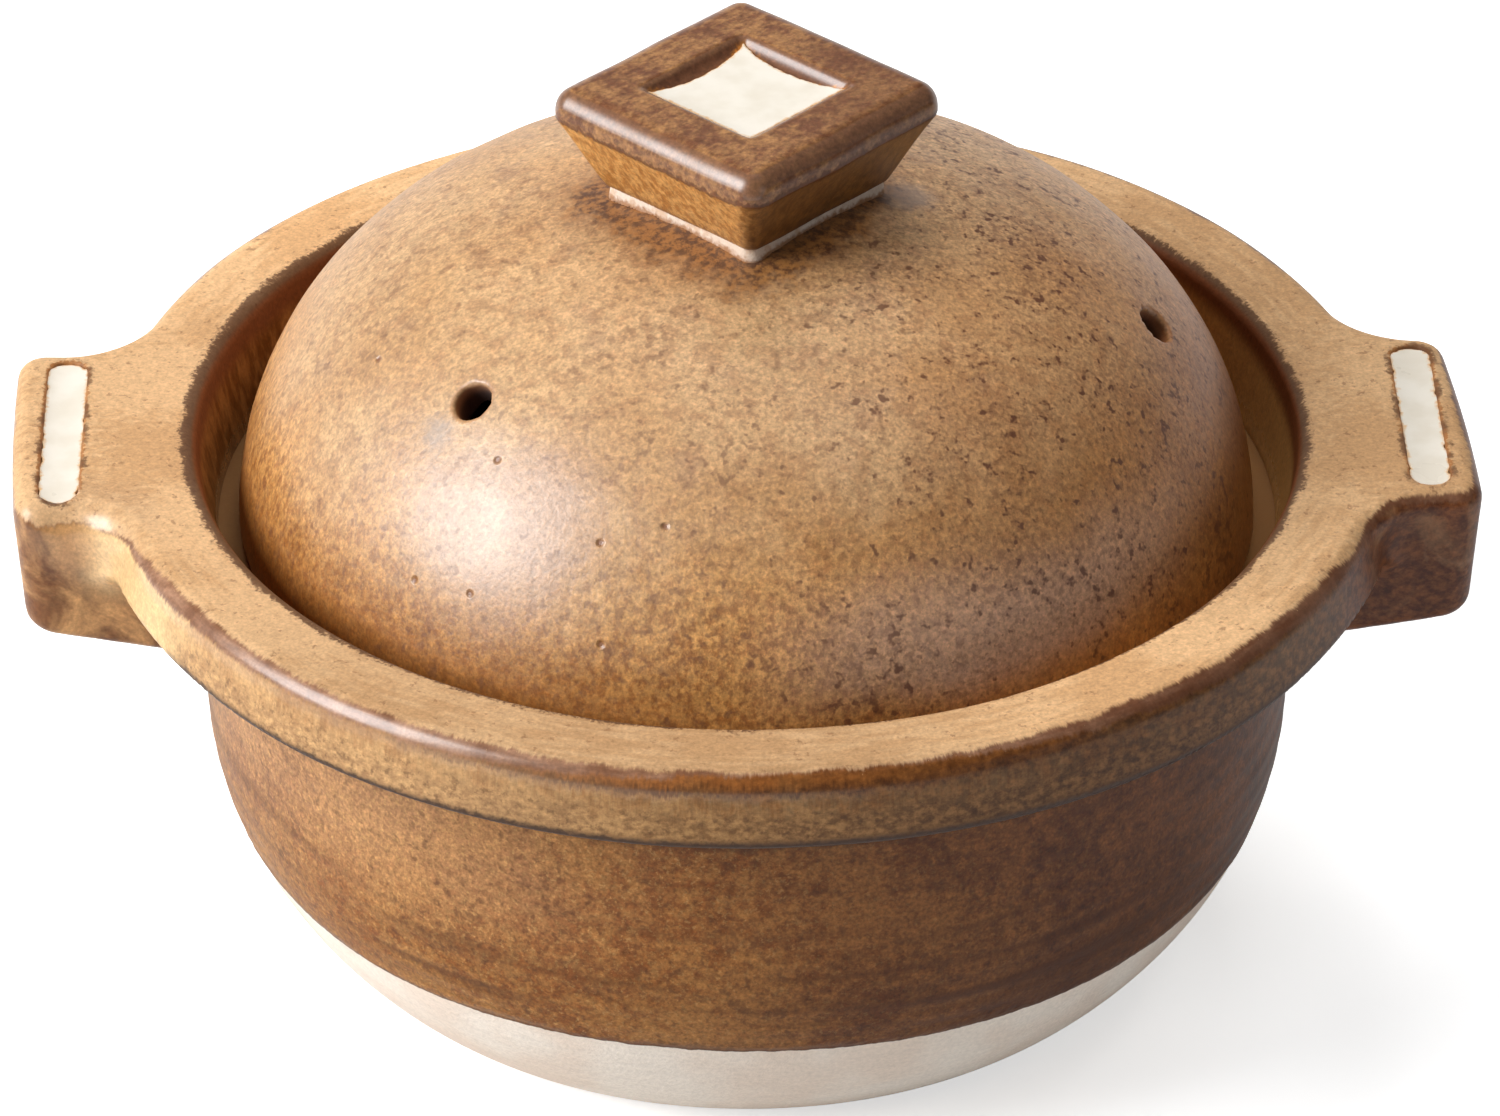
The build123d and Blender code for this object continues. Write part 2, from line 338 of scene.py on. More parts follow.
def vent_hole(x, y, z, middle, way):
    """Distance outside a vent's round hole."""
    dx, dy, dz = x - middle[0], y - middle[1], z - middle[2]
    depth = dx * way[0] + dy * way[1] + dz * way[2]
    across = np.sqrt(np.maximum(dx**2 + dy**2 + dz**2 - depth**2, 0)) - vent_radius
    return np.maximum(across, np.abs(depth) - 2 * lid_wall)


def lid_clay(x, y, z):
    """The lid's dome, with its vents."""
    skin = dome(x, y, z)
    outer = skin + 0.15 + 0.25 * swell(x, y, z, 70, 9) + 0.08 * swell(x, y, z, 16, 10)
    inner = -(skin + lid_wall + 0.2 * np.sin(2 * math.pi * z / 8))
    clay = cut_edge(cut_edge(outer, lid_low - z, lid_edge_radius), inner, 2.0)
    for middle, way in vents():
        clay = cut_edge(clay, -vent_hole(x, y, z, middle, way), 0.8)
    return clay


def knob_half_width(z):
    """Half the knob's width at a height: a taper below, upright in the band."""
    share = np.clip((z - knob_low) / (knob_band_low - knob_low), 0, 1)
    return knob_base_half + (knob_half - knob_base_half) * share


def knob_clay(x, y, z):
    """The glazed knob, with the square hollow in its top."""
    half = knob_half_width(z)
    taper = math.atan2(knob_half - knob_base_half, knob_band_low - knob_low)
    slope = np.where(z < knob_band_low, math.cos(taper), 1)
    corner_radius = knob_corner_radius * (1 + smooth(z, knob_low, knob_band_low))
    side = turned_square(x, y, half - 0.15, corner_radius) * slope
    side = side + 0.15 * swell(x, y, z, 22, 11)
    clay = cut_edge(cut_edge(side, z - knob_top + 0.08, knob_edge_radius), knob_low - z, 0.8)
    depth = knob_top - z
    wall = turned_square(x, y, dish_half + 0.7 - depth * dish_slope, 1.2) * 0.86
    return cut_edge(clay, -cut_edge(wall, depth - dish_depth, 2.0), 1.1)


def knob_foot_clay(x, y, z):
    """The bare clay between the knob and the dome."""
    half = knob_base_half - 0.5 + 0.12 * (knob_low - z)
    side = turned_square(x, y, half, 3.0) + 0.1 * swell(x, y, z, 7, 13)
    return np.maximum(cut_edge(side, z - knob_low - 0.2, 0.3), -dome(x, y, z) - 0.4)


def hollow_sides(across, along):
    """Distance outside two opposite sides of the white pool on the knob, the back one more hollow."""
    corner = dish_half - 0.4
    waist = np.where(across > 0, pool_waist_back, pool_waist_front)
    return np.abs(across) - waist - (corner - waist) * (along / corner) ** 2


def dish_pool(x, y):
    """Distance outside the white pool on the knob."""
    across, along = knob_ways(x, y)
    ragged = 0.15 * swell(x, y, 0 * x, 3.2, 14) + 0.1 * swell(x, y, 0 * x, 1.4, 15)
    return np.maximum(hollow_sides(across, along), hollow_sides(along, across)) + ragged


def knob_white(x, y, z):
    """White glaze in the knob's hollow."""
    out = np.hypot(x, y) / (dish_half * 1.35)
    top = z - (knob_top - dish_depth + 1.3 + 0.6 * out**4)
    bottom = knob_top - dish_depth - 0.2 - z
    return np.maximum(cut_edge(dish_pool(x, y), top, 0.5), bottom)


def slot_shore(x, y, side):
    """Distance outside the ragged edge of the white glaze in a slot."""
    edge = slot_outline(x, y, side) - 0.3 + 0.28 * swell(x, y, 0 * x, 4, 16 + side)
    return edge + 0.22 * swell(x, y, 0 * x, 1.6, 19 + side)


def slot_white(side):
    """White glaze in a lug's slot."""
    def fill(x, y, z):
        across = np.abs(x - slot_middle(side)) / slot_radius
        top = z - brim_top + 0.95 - 0.35 * across**2
        return np.maximum(cut_edge(slot_shore(x, y, side), top, 0.3), brim_top - slot_depth + 0.2 - z)

    return fill


def slope_of(field, points, step=0.02):
    """How fast a field rises along X, Y and Z at each point."""
    rises = [field(*(points + move).T) - field(*(points - move).T) for move in np.eye(3) * step]
    return np.stack(rises, axis=1) / (2 * step)


def steps(low, high, cell, fine=None, places=()):
    """Grid lines from low to high, a cell apart, and closer within a half width of each place."""
    lines = [low - 1.5 * cell]
    while lines[-1] < high + 1.5 * cell:
        near = any(abs(lines[-1] - middle) < half for middle, half in places)
        lines.append(lines[-1] + (fine if near else cell))
    return np.array(lines)


def sample(field, lines):
    """A field's values at the corners of the grid."""
    xs, ys, zs = lines
    sheet = (len(ys), len(zs))
    return np.stack([field(np.full(sheet, x), ys[:, None], zs[None, :]) for x in xs])


def crossed_cells(values, inside):
    """The cells that the surface passes through, and its middle in each, counted in grid lines."""
    width, depth, height = np.array(values.shape) - 1
    corners = list(np.ndindex(2, 2, 2))
    filled = np.zeros((width, depth, height), np.int8)
    for i, j, k in corners:
        filled += inside[i : i + width, j : j + depth, k : k + height]
    cells = np.argwhere((filled > 0) & (filled < len(corners)))
    total = np.zeros((len(cells), 3))
    crossings = np.zeros(len(cells))
    for axis in range(3):
        for start in corners:
            if start[axis]:
                continue
            a = cells + start
            b = a.copy()
            b[:, axis] += 1
            value_a, value_b = values[tuple(a.T)], values[tuple(b.T)]
            crossed = (value_a < 0) != (value_b < 0)
            point = a[crossed].astype(float)
            point[:, axis] += value_a[crossed] / (value_a[crossed] - value_b[crossed])
            total[crossed] += point
            crossings[crossed] += 1
    return cells, total / crossings[:, None]


def faces_between(cells, inside):
    """A four-sided face for each grid edge that the surface crosses, seen from outside the clay."""
    number = np.full(np.array(inside.shape) - 1, -1)
    number[tuple(cells.T)] = np.arange(len(cells))
    quads = []
    for axis in range(3):
        one, two = [i for i in range(3) if i != axis]
        sheets = np.moveaxis(inside, axis, 0)
        edges = np.argwhere(sheets[:-1] != sheets[1:])
        edges = edges[(edges[:, 1] > 0) & (edges[:, 2] > 0)]
        leaving = sheets[tuple(edges.T)]
        ring = []
        for back_one, back_two in ((1, 1), (0, 1), (0, 0), (1, 0)):
            at = np.empty_like(edges)
            at[:, [axis, one, two]] = edges - (0, back_one, back_two)
            ring.append(number[tuple(at.T)])
        ring = np.stack(ring, axis=1)
        flip = leaving if axis == 1 else ~leaving
        ring[flip] = ring[flip][:, ::-1]
        quads.append(ring)
    return np.concatenate(quads)


def surface(field, lines):
    """Points and four-sided faces where a field is zero, found cell by cell of a grid. A few short
    moves along the slope then bring each point onto the surface."""
    moves = 4
    longest_move = 1.5
    values = sample(field, lines)
    inside = values < 0
    cells, middles = crossed_cells(values, inside)
    places = [np.interp(middles[:, i], np.arange(len(lines[i])), lines[i]) for i in range(3)]
    points = np.stack(places, axis=1)
    for _ in range(moves):
        slope = slope_of(field, points)
        steep = np.maximum((slope**2).sum(1), 0.2)
        move = slope * (field(*points.T) / steep)[:, None]
        points += np.clip(-move, -longest_move, longest_move)
    return points, faces_between(cells, inside)


def new_object(name, data):
    made = bpy.data.objects.new(name, data)
    bpy.context.scene.collection.objects.link(made)
    return made


def clay_piece(name, field, lines, material, body, nodes, marks):
    """A mesh of the field's surface that replaces CAD nodes. marks gives named values for each point."""
    points, quads = surface(field, lines)
    mesh = bpy.data.meshes.new(name)
    mesh.vertices.add(len(points))
    mesh.vertices.foreach_set("co", (points * MM).ravel())
    mesh.loops.add(quads.size)
    mesh.loops.foreach_set("vertex_index", quads.ravel())
    mesh.polygons.add(len(quads))
    mesh.polygons.foreach_set("loop_start", np.arange(len(quads)) * 4)
    mesh.update(calc_edges=True)
    mesh.validate()
    normals = slope_of(field, points)
    normals /= np.linalg.norm(normals, axis=1, keepdims=True)
    mesh.shade_smooth()
    mesh.normals_split_custom_set_from_vertices(normals)
    for mark, value in marks(points, normals).items():
        kind, member = ("FLOAT", "value") if value.ndim == 1 else ("FLOAT_VECTOR", "vector")
        attribute = mesh.attributes.new(mark, kind, "POINT")
        attribute.data.foreach_set(member, value.astype(np.float32).ravel())
    piece = new_object(name, mesh)
    mesh.materials.append(material)
    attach(piece, body)
    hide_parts(*nodes)


def bowl_marks(points, normals):
    """1 on the wall of the hollow, where the glaze has no lower edge, and 0 outside."""
    x, y, z = points.T
    return {"inside": 1 - smooth(bowl_hollow(np.hypot(x, y), z), 0.5, 1.5)}


def brim_marks(points, normals):
    """For the glaze that breaks over the edges: how far in from the outline each point is, the nearest
    place on the outline, and how near the white glaze is."""
    x, y, z = points.T
    middle = np.full_like(z, (band_low + brim_top) / 2)
    step = 0.05
    away = outline(x, y, middle)
    across = np.stack([
        outline(x + step, y, middle) - outline(x - step, y, middle),
        outline(x, y + step, middle) - outline(x, y - step, middle),
        np.zeros_like(z),
    ], axis=1)
    across /= np.maximum(np.linalg.norm(across, axis=1, keepdims=True), 1e-6)
    slot = np.minimum(slot_outline(x, y, 1), slot_outline(x, y, -1))
    on_lug = smooth(np.abs(x), lug_from, lug_full)
    keep = 1 - smooth(-away, 14 - 9 * on_lug, 20 - 11 * on_lug)
    return {
        "inset": np.clip(-away, -3, 20),
        "rim": np.stack([x, y, np.zeros_like(z)], axis=1) - across * (away * keep)[:, None],
        "white": np.clip(slot, -3, 12),
    }


def lid_marks(points, normals):
    """How near the knob's foot and the vents are, and how deep in the lid's wall each point lies."""
    x, y, z = points.T
    vent = np.min([vent_hole(x, y, z, middle, way) for middle, way in vents()], axis=0)
    return {
        "foot": np.clip(turned_square(x, y, knob_base_half, 3.0), -5, 40),
        "vent": np.clip(vent, -3, 20),
        "depth": np.clip(-dome(x, y, z), 0, 10),
    }


def knob_marks(points, normals):
    """Where the knob's upper edges turn over, and how near the white glaze is."""
    x, y, z = points.T
    across, along = knob_ways(normals[:, 0], normals[:, 1])
    flat = np.maximum(np.maximum(np.abs(across), np.abs(along)), normals[:, 2])
    return {
        "edge": smooth(1 - flat, 0.01, 0.2) * smooth(normals[:, 2], 0, 0.2),
        "white": np.clip(dish_pool(x, y), -3, 12),
    }


def foot_marks(points, normals):
    """How far above the dome each point is."""
    return {"above": dome(*points.T)}


def shore_marks(shore):
    """How far each point of a white pool lies in from its shore."""
    def marks(points, normals):
        x, y, z = points.T
        return {"shore": np.clip(-shore(x, y), -1, 6)}

    return marks


def srgb(red, green, blue):
    """A colour as seen on a screen, 0 to 255, as the linear colour that a shader takes."""
    shares = [channel / 255 for channel in (red, green, blue)]
    linear = [share / 12.92 if share <= 0.04 else ((share + 0.055) / 1.055) ** 2.4 for share in shares]
    return (*linear, 1.0)


def fill(tree, node, inputs):
    """Gives a node its inputs, which are values or other nodes' sockets."""
    for key, value in inputs.items():
        if isinstance(value, bpy.types.NodeSocket):
            tree.links.new(value, node.inputs[key])
        else:
            node.inputs[key].default_value = value


def new_node(tree, kind, inputs={}, **settings):
    made = tree.nodes.new("ShaderNode" + kind)
    for key, value in settings.items():
        setattr(made, key, value)
    fill(tree, made, inputs)
    return made


def reckon(tree, operation, a, b):
    return new_node(tree, "Math", {0: a, 1: b}, operation=operation).outputs[0]


class Glaze:
    """A Principled material whose inputs are built from noise. Lengths are in millimetres."""

    def __init__(self, name, **settings):
        self.material = bpy.data.materials.new(name)
        self.material.use_nodes = True
        self.tree = self.material.node_tree
        self.shader = self.tree.nodes["Principled BSDF"]
        fill(self.tree, self.shader, {key.replace("_", " "): value for key, value in settings.items()})
        self.place = self.stretch(self.node("TexCoord").outputs["Object"], 1 / MM)
        self.x, self.y, self.z = self.node("SeparateXYZ", {0: self.place}).outputs
        self.colour = None

    def node(self, kind, inputs={}, **settings):
        return new_node(self.tree, kind, inputs, **settings)

    def vector(self, operation, inputs):
        return self.node("VectorMath", inputs, operation=operation).outputs

    def stretch(self, vector, x, y=None, z=None):
        scale = (x, x if y is None else y, x if z is None else z)
        return self.vector("MULTIPLY", {0: vector, 1: scale})[0]

    def shift(self, vector, other):
        return self.vector("ADD", {0: vector, 1: other})[0]

    def scaled(self, vector, scale):
        return self.vector("SCALE", {0: vector, "Scale": scale})[0]

    def distance(self, point):
        return self.vector("DISTANCE", {0: self.place, 1: point})["Value"]

    def from_axis(self):
        """Distance from the pot's axis."""
        return self.vector("LENGTH", {0: self.stretch(self.place, 1, 1, 0)})["Value"]

    def aside(self):
        """Distance from the middle, to the left or to the right."""
        return self.math("ABSOLUTE", self.x)

    def math(self, operation, a, b=0):
        return reckon(self.tree, operation, a, b)

    def chain(self, operation, values):
        total = values[0]
        for value in values[1:]:
            total = self.math(operation, total, value)
        return total

    def add(self, *values):
        return self.chain("ADD", values)

    def times(self, *values):
        return self.chain("MULTIPLY", values)

    def less(self, a, b):
        return self.math("SUBTRACT", a, b)

    def swing(self, cloud, amount):
        """A cloud about 0.5 turned into a swing about zero."""
        return self.times(self.less(cloud, 0.5), amount)

    def most(self, a, b):
        return self.math("MAXIMUM", a, b)

    def mark(self, name, output="Fac"):
        return self.node("Attribute", attribute_name=name).outputs[output]

    def noise(self, length, detail=3, rough=0.6, vector=None, squash=None, seed=0, bend=0):
        """Random cloud between 0 and 1, about 0.5 on the mean."""
        at = self.stretch(self.place, *squash) if squash else vector or self.place
        at = self.shift(self.stretch(at, 1 / length), (seed, seed * 1.7, seed * 2.3))
        inputs = {"Vector": at, "Scale": 1.0, "Detail": detail, "Roughness": rough, "Distortion": bend}
        return self.node("TexNoise", inputs).outputs[0]

    def ragged(self, length, amount, seed, detail=3, rough=0.6):
        """Random swing about zero, which makes an edge ragged."""
        return self.swing(self.noise(length, detail, rough, seed=seed), amount)

    def rise(self, value, low, high):
        """0 up to low, 1 from high on, smooth between. low above high turns it round."""
        inputs = {"Value": value, "From Min": low, "From Max": high}
        return self.node("MapRange", inputs, interpolation_type="SMOOTHSTEP").outputs[0]

    def between(self, value, low, high, soft):
        """1 where a value lies between low and high, with soft ends."""
        from_low = self.rise(value, low - soft, low + soft)
        return self.times(from_low, self.rise(value, high + soft, high - soft))

    def spots(self, spacing, size, seed=0.0, keep=1.0):
        """1 inside small round spots of a size, about a spacing apart, of which a share is kept."""
        at = self.shift(self.stretch(self.place, 1 / spacing), (seed, seed * 1.3, seed * 1.9))
        cells = self.node("TexVoronoi", {"Vector": at, "Scale": 1.0})
        near = self.rise(cells.outputs["Distance"], size / spacing, 0.5 * size / spacing)
        pick = self.node("SeparateColor", {0: cells.outputs["Color"]}).outputs[0]
        return self.times(near, self.math("LESS_THAN", pick, keep))

    def mix(self, share, *colours):
        """Two colours, each from other nodes or as (red, green, blue) on a screen, 0 to 255."""
        a, b = (srgb(*colour) if isinstance(colour, tuple) else colour for colour in colours)
        return self.node("Mix", {0: share, 6: a, 7: b}, data_type="RGBA").outputs[2]

    def blend(self, value, low, high, a, b):
        """One colour up to a low value and another from a high one on."""
        return self.mix(self.rise(value, low, high), a, b)

    def tint(self, colour, paint, *shares):
        """A colour painted over by the product of some shares."""
        return self.mix(self.times(*shares), colour, paint)

    def paint(self, layer, *shares):
        """Paints a layer over the material's own colour."""
        self.colour = self.tint(self.colour, layer, *shares)

    def vary(self, colour, cloud, amount):
        """A colour made lighter and darker by a cloud."""
        return self.scaled(colour, self.add(self.swing(cloud, amount), 1.0))

    def browned_and_shaded(self, low=-70, high=120):
        """Darker towards +X and the front: partly browned by the fire, partly painted shade on the side
        away from the key lamp.
        """
        patches = self.ragged(45, 60, 0, rough=0.55)
        return self.rise(self.add(self.x, self.times(self.y, -0.3), patches), low, high)

    def finish(self, rough, height, coat=0):
        """height is the relief in millimetres, coat the share of a glossier skin."""
        bump = self.node("Bump", {"Height": height, "Distance": MM, "Strength": 1.0})
        inputs = {"Base Color": self.colour, "Roughness": rough, "Normal": bump.outputs[0]}
        fill(self.tree, self.shader, inputs | {"Coat Weight": coat})
        return self.material


def specks(g, dark, share, seed):
    """Iron specks: fine soft grains and a few darker ones, denser in some places."""
    patches = g.ragged(22, 0.3, seed, 2)
    grains = g.noise(1.3, 2, seed=seed + 1)
    crumbs = g.noise(2.4, 2, seed=seed + 2)
    soft = g.rise(g.add(grains, patches), 0.47, 0.66)
    strong = g.rise(g.add(crumbs, patches), 0.56, 0.70)
    amount = g.times(g.most(g.times(soft, 0.45), strong), share)
    g.paint(dark, amount)
    return amount


def grained(g, amount, seed):
    """Adds the glazes' fine grain to the colour, and returns its height."""
    fine = g.noise(0.7, 2, seed=seed)
    grain = g.noise(1.5, 2, seed=seed + 1)
    g.colour = g.vary(g.vary(g.colour, fine, 1.2 * amount), grain, 0.9 * amount)
    return g.add(g.times(fine, 0.035), g.times(grain, 0.05))


def bare(g, seed):
    """Unglazed cream clay with its grain, and the height of the grain."""
    grain = g.noise(0.9, 3, 0.65, seed=seed)
    turned = g.noise(1.6, 2, squash=(0.1, 0.1, 1), seed=seed + 1)
    cloud = g.noise(22, 2, 0.5, seed=seed + 2)
    clay = g.blend(cloud, 0.35, 0.65, (242, 225, 209), (248, 237, 224))
    clay = g.vary(g.vary(clay, grain, 0.4), turned, 0.14)
    return clay, g.add(g.times(grain, 0.2), g.times(turned, 0.1))


def amber_glaze():
    """The lid: tan on top, amber below, browner to the right from the fire and from painted shade, with a
    painted sheen low on the right, a greyer patch that whitens the key lamp's highlight, a bruise, a
    painted reflection by the knob, painted shade inside the vents, pinholes and iron specks.
    """
    g = Glaze("amber_glaze", IOR=1.95)
    mottle = g.noise(5, seed=2)
    cloud = g.noise(32, 3, 0.5, seed=3)
    crumb = g.noise(1.7, 3, 0.7, squash=(1, 1, 0.7), seed=4)
    tan = g.blend(cloud, 0.35, 0.65, (196, 150, 101), (210, 168, 120))
    bruised = g.rise(g.noise(9, seed=5), 0.54, 0.72)
    tan = g.tint(tan, (150, 112, 88), bruised, 0.35)
    freckles = g.rise(g.add(g.noise(3.6, 2, seed=7), g.swing(cloud, 0.3)), 0.5, 0.64)
    tan = g.tint(tan, (160, 112, 74), freckles, 0.4)
    tan = g.scaled(tan, g.less(1, g.times(g.rise(g.x, -10, -80), 0.1)))
    amber = g.blend(crumb, 0.36, 0.62, (164, 106, 48), (222, 162, 88))
    tan_above, amber_below = 144, 114
    level = g.add(g.z, g.times(g.rise(g.x, -60, 10), -9), g.swing(cloud, 26), g.swing(crumb, 12))
    level = g.add(level, g.swing(mottle, 10))
    g.colour = g.blend(level, tan_above, amber_below, tan, amber)
    # Browner towards +X and the front, from the fire and from painted shade; the far right limb darker
    # still, as painted shade.
    g.paint((168, 106, 48), g.browned_and_shaded(10, 120), 0.7)
    g.paint((116, 60, 20), g.rise(g.add(g.x, g.swing(cloud, 30)), 74, 108), 0.8)

    # A paler band low on the lid's front right: painted sheen.
    lid_sheen_low, lid_sheen_high = 112, 132
    lid_sheen = g.between(g.add(g.z, g.swing(cloud, 20)), lid_sheen_low, lid_sheen_high, 7)
    g.paint((214, 176, 150), lid_sheen, g.between(g.x, 8, 80, 18), g.rise(g.y, -30, -60), 0.55)
    g.colour = g.vary(g.colour, mottle, 0.25)
    golden_above, golden_below = 130, 104
    limb = g.rise(g.add(g.z, g.swing(mottle, 8)), golden_above, golden_below)
    g.paint((148, 88, 24), limb, g.rise(g.x, 30, -50), 0.85)
    # A greyer patch where the key lamp's highlight falls: painted so that the highlight looks whiter.
    highlight_patch = g.add(g.distance(on_dome(*highlight_patch_place)[0]), g.swing(cloud, 20), g.swing(mottle, 10))
    g.paint((180, 142, 116), g.rise(highlight_patch, 27, 10), 0.7)
    relief = grained(g, 1.0, 6)
    share = specks(g, (92, 46, 22), g.add(0.42, g.times(g.rise(g.x, -50, 60), 0.5)), 10)

    from_foot = g.add(g.mark("foot"), g.times(g.rise(g.add(g.x, g.y), -10, 20), 4))
    pool = g.rise(g.add(from_foot, g.add(g.ragged(7, 14, 20), g.ragged(1.6, 6, 21))), 13, 4)
    rust = g.blend(g.noise(1.9, 3, 0.7, seed=22), 0.38, 0.62, (80, 42, 18), (164, 110, 54))
    g.paint(rust, pool, 0.94)
    # A grey bruise by the left vent, and a painted reflection to the right of the knob's foot.
    for azimuth, ring, size in bruise_and_reflection:
        near = g.add(g.distance(on_dome(azimuth, ring)[0]), g.ragged(3, 6, ring))
        g.paint((140, 126, 118), g.rise(near, size, 0.3 * size), 0.55)
    near_vent = g.mark("vent")
    g.paint((166, 112, 74), g.between(near_vent, 0.2, 0.9, 0.3), 0.45)
    depth = g.mark("depth")
    # The vents' inner walls darken with depth: painted shade.
    hole = g.times(g.rise(near_vent, 0.9, 0.4), g.rise(depth, 0.5, 1.6))
    g.paint(g.blend(depth, 1, 4.5, (156, 100, 60), (74, 38, 18)), hole)
    holes = 0.0
    for azimuth, ring in zip(pinhole_azimuths, pinhole_rings):
        holes = g.most(holes, g.rise(g.distance(on_dome(azimuth, ring)[0]), pinhole_radius, 0.3))
    holes = g.most(holes, g.spots(19, 0.9, seed=24, keep=0.35))
    g.paint((112, 56, 22), holes, 0.75)

    rim = g.rise(g.add(g.z, g.ragged(2, 2, 25, rough=0.55)), lid_low + 2.6, lid_low + 1.2)
    g.paint((84, 48, 26), rim, 0.8)
    clay, grain = bare(g, 26)
    underside = g.rise(g.z, lid_low + 0.7, lid_low + 0.3)
    g.paint(clay, underside)
    rough = g.add(0.44, g.swing(mottle, 0.1), g.times(share, 0.1), g.times(underside, 0.4))
    rough = g.add(rough, g.times(hole, 0.5))
    height = g.add(relief, g.times(mottle, 0.1), g.times(holes, -0.3), g.times(underside, grain))
    return g.finish(rough, height)


def band_face(g, down, depth, teeth, sway):
    """The brim's upright face: rust under the edge, then ochre, then olive, with a dark lower line that is
    mostly painted shade under the brim and partly dark glaze, and darker to the right from the fire and
    from painted shade.
    """
    patch = g.noise(30, 2, 0.5, seed=5)
    flat = g.noise(1.8, 3, 0.65, squash=(0.8, 0.8, 1.2), seed=8)
    blotch = g.noise(6, seed=18)
    ochre_share = g.add(g.times(teeth, 0.3), g.times(blotch, 0.4), g.times(patch, 0.3))
    ochre = g.blend(ochre_share, 0.38, 0.62, (158, 108, 56), (202, 158, 102))
    olive = g.blend(flat, 0.3, 0.7, (148, 104, 58), (200, 156, 100))
    ochre_above, olive_below = 6.5, 11
    edge = g.add(down, g.swing(flat, 5), g.swing(sway, 4), g.swing(blotch, 4))
    band = g.blend(edge, ochre_above, olive_below, ochre, olive)
    rust_share = g.add(depth, g.swing(teeth, 3), g.swing(blotch, 3))
    rust = g.blend(rust_share, -3.6, -1, (96, 52, 24), (162, 92, 34))
    stretch = g.times(g.rise(g.x, -115, -50), g.rise(g.x, 120, 50), g.rise(patch, 0.28, 0.46))
    under = g.rise(g.add(depth, g.swing(blotch, 3), g.swing(teeth, 2)), -5.2, -3.4)
    band = g.tint(band, rust, under, stretch, 0.85)
    band = g.tint(band, (214, 172, 130), g.rise(g.x, -5, -60), 0.25)
    crumbs = g.rise(g.noise(1.6, 3, 0.65, seed=19), 0.52, 0.66)
    band = g.tint(band, (98, 66, 40), crumbs, g.rise(down, 5, 9), 0.5)
    # Darker towards +X and the front, from the fire and from painted shade.
    burnt_and_shaded = g.blend(flat, 0.34, 0.66, (58, 28, 12), (112, 68, 32))
    band = g.tint(band, burnt_and_shaded, g.browned_and_shaded(), 0.85)
    # The dark line along the band's lower edge: mostly painted shade under the brim, partly dark glaze.
    from_low = g.add(down, g.times(g.rise(g.y, -50, -125), -1.6), g.swing(flat, 3))
    return g.tint(band, (56, 32, 18), g.rise(from_low, 12, 13.6), 0.95), flat


def lug_face(g, down, flat):
    """The lugs' sides and ends: light swirls on the left one, dark and smoky on the right one, and a
    painted highlight where the left one flares into the brim.
    """
    swirl = g.noise(12, 4, 0.65, seed=9, bend=0.6)
    light_face = g.blend(swirl, 0.3, 0.72, (112, 66, 32), (214, 162, 106))
    smoke = g.rise(g.noise(12, 3, 0.55, seed=10, bend=1), 0.5, 0.72)
    dark_face = g.blend(flat, 0.34, 0.66, (84, 42, 20), (124, 72, 38))
    dark_face = g.tint(dark_face, (158, 116, 82), smoke, 0.6)
    face = g.blend(g.x, -20, 40, light_face, dark_face)
    # A pale cream patch where the left lug flares into the brim: painted highlight.
    near_brim = g.rise(g.add(g.aside(), g.swing(swirl, 10)), 141, 129)
    flare_highlight = g.times(near_brim, g.rise(g.x, 40, -20), g.rise(g.add(down, g.swing(swirl, 14)), 25, 13))
    return g.tint(face, (236, 196, 140), flare_highlight, 0.85), swirl


def brim_edge_layers(g, down, lines, sway, teeth):
    """Purple and the upright faces below the sand's ragged border. Returns the border and its depth."""
    depth = g.add(g.mark("inset"), g.times(down, -1), g.swing(teeth, 3), g.swing(sway, 4))
    wide = g.add(-2.6, g.times(g.rise(g.x, -132, -116), 4.8), g.times(g.rise(g.x, 0, 80), 0.9))
    wide = g.add(wide, g.times(g.rise(g.x, 110, 122), -2.5))
    border = g.rise(g.less(depth, wide), 0.7, -0.7)
    purple_share = g.add(g.times(sway, 0.5), g.times(lines, 0.5))
    purple = g.blend(purple_share, 0.38, 0.62, (126, 84, 58), (168, 126, 98))
    purple = g.tint(purple, (98, 58, 38), g.rise(g.x, 10, 90), 0.7)
    drop = g.add(depth, g.times(g.rise(g.x, 20, -70), 5), g.times(g.rise(g.x, 20, 90), 4))
    band, flat = band_face(g, down, depth, teeth, sway)
    face, swirl = lug_face(g, down, flat)
    lug = g.rise(g.add(g.aside(), g.swing(swirl, 16)), 112, 122)
    upright = g.vary(g.mix(lug, band, face), flat, 0.4)
    g.paint(g.blend(drop, 3, 1.4, purple, upright), border)
    return border, depth


def mouth_layers(g, sway):
    """The brim's inner edge with its dark teeth, and the wall inside it. Returns how much is that wall."""
    inner_edge = gallery_radius + gallery_flare
    radius = g.from_axis()
    nearest = g.scaled(g.place, g.math("DIVIDE", inner_edge, radius))
    teeth = g.noise(0.8, 2, vector=nearest, seed=11)
    outward = g.less(radius, inner_edge)
    fringe = g.add(outward, g.swing(teeth, 4), g.swing(sway, 3), g.times(g.rise(g.aside(), 60, 108), -0.8))
    fringe = g.add(fringe, g.times(g.rise(g.x, 20, -40), -0.9))
    g.paint((76, 44, 28), g.rise(fringe, 1.6, 0.4), 0.85)
    g.paint((128, 66, 30), g.between(outward, -1.8, 0.2, 0.5), 0.7)
    wall = g.rise(outward, -0.9, -1.9)
    runs = g.noise(3, squash=(1, 1, 0.3), seed=12)
    gallery = g.blend(runs, 0.38, 0.62, (120, 70, 28), (160, 104, 52))
    g.paint(g.tint(gallery, (204, 156, 92), g.rise(g.x, 20, 90), 0.85), wall)
    return wall


